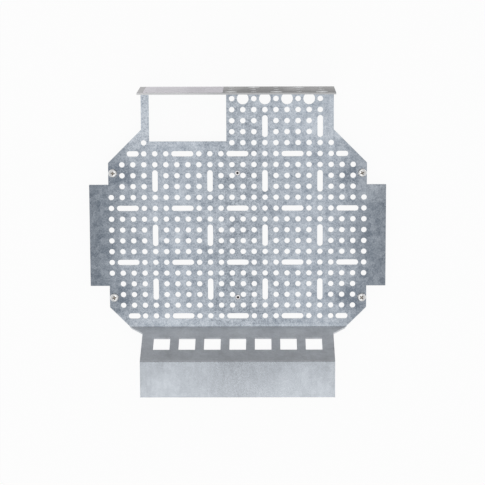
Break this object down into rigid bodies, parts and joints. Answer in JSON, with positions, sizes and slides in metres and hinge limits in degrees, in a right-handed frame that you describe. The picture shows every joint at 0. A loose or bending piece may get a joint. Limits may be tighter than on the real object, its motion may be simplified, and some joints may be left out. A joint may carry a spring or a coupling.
{
  "type": "perforated mounting plate",
  "caption": "Bent galvanised sheet plate with a grid of holes and slots, a window, a top flange, a ramp with jack cut-outs and captive corner screws.",
  "frame": {"origin": "middle of the hole grid on the plate's back face", "axes": "+Z out of the plate's front, +Y towards the top flange, +X to the right seen from the front"},
  "size_m": [0.27, 0.2731, 0.07],
  "materials": {
    "galvanised_sheet": "galvanised, faint spangle",
    "screw_steel": "zinc plated",
    "rivet_steel": "zinc plated",
    "label_paper": "matt paper"
  },
  "bodies": {
    "root": {"mounting_plate": "galvanised_sheet", "screw_upper_left": "screw_steel", "screw_upper_right": "screw_steel", "screw_lower_left": "screw_steel", "screw_lower_right": "screw_steel", "rivet_upper": "rivet_steel", "rivet_lower": "rivet_steel"}
  },
  "joints": []
}
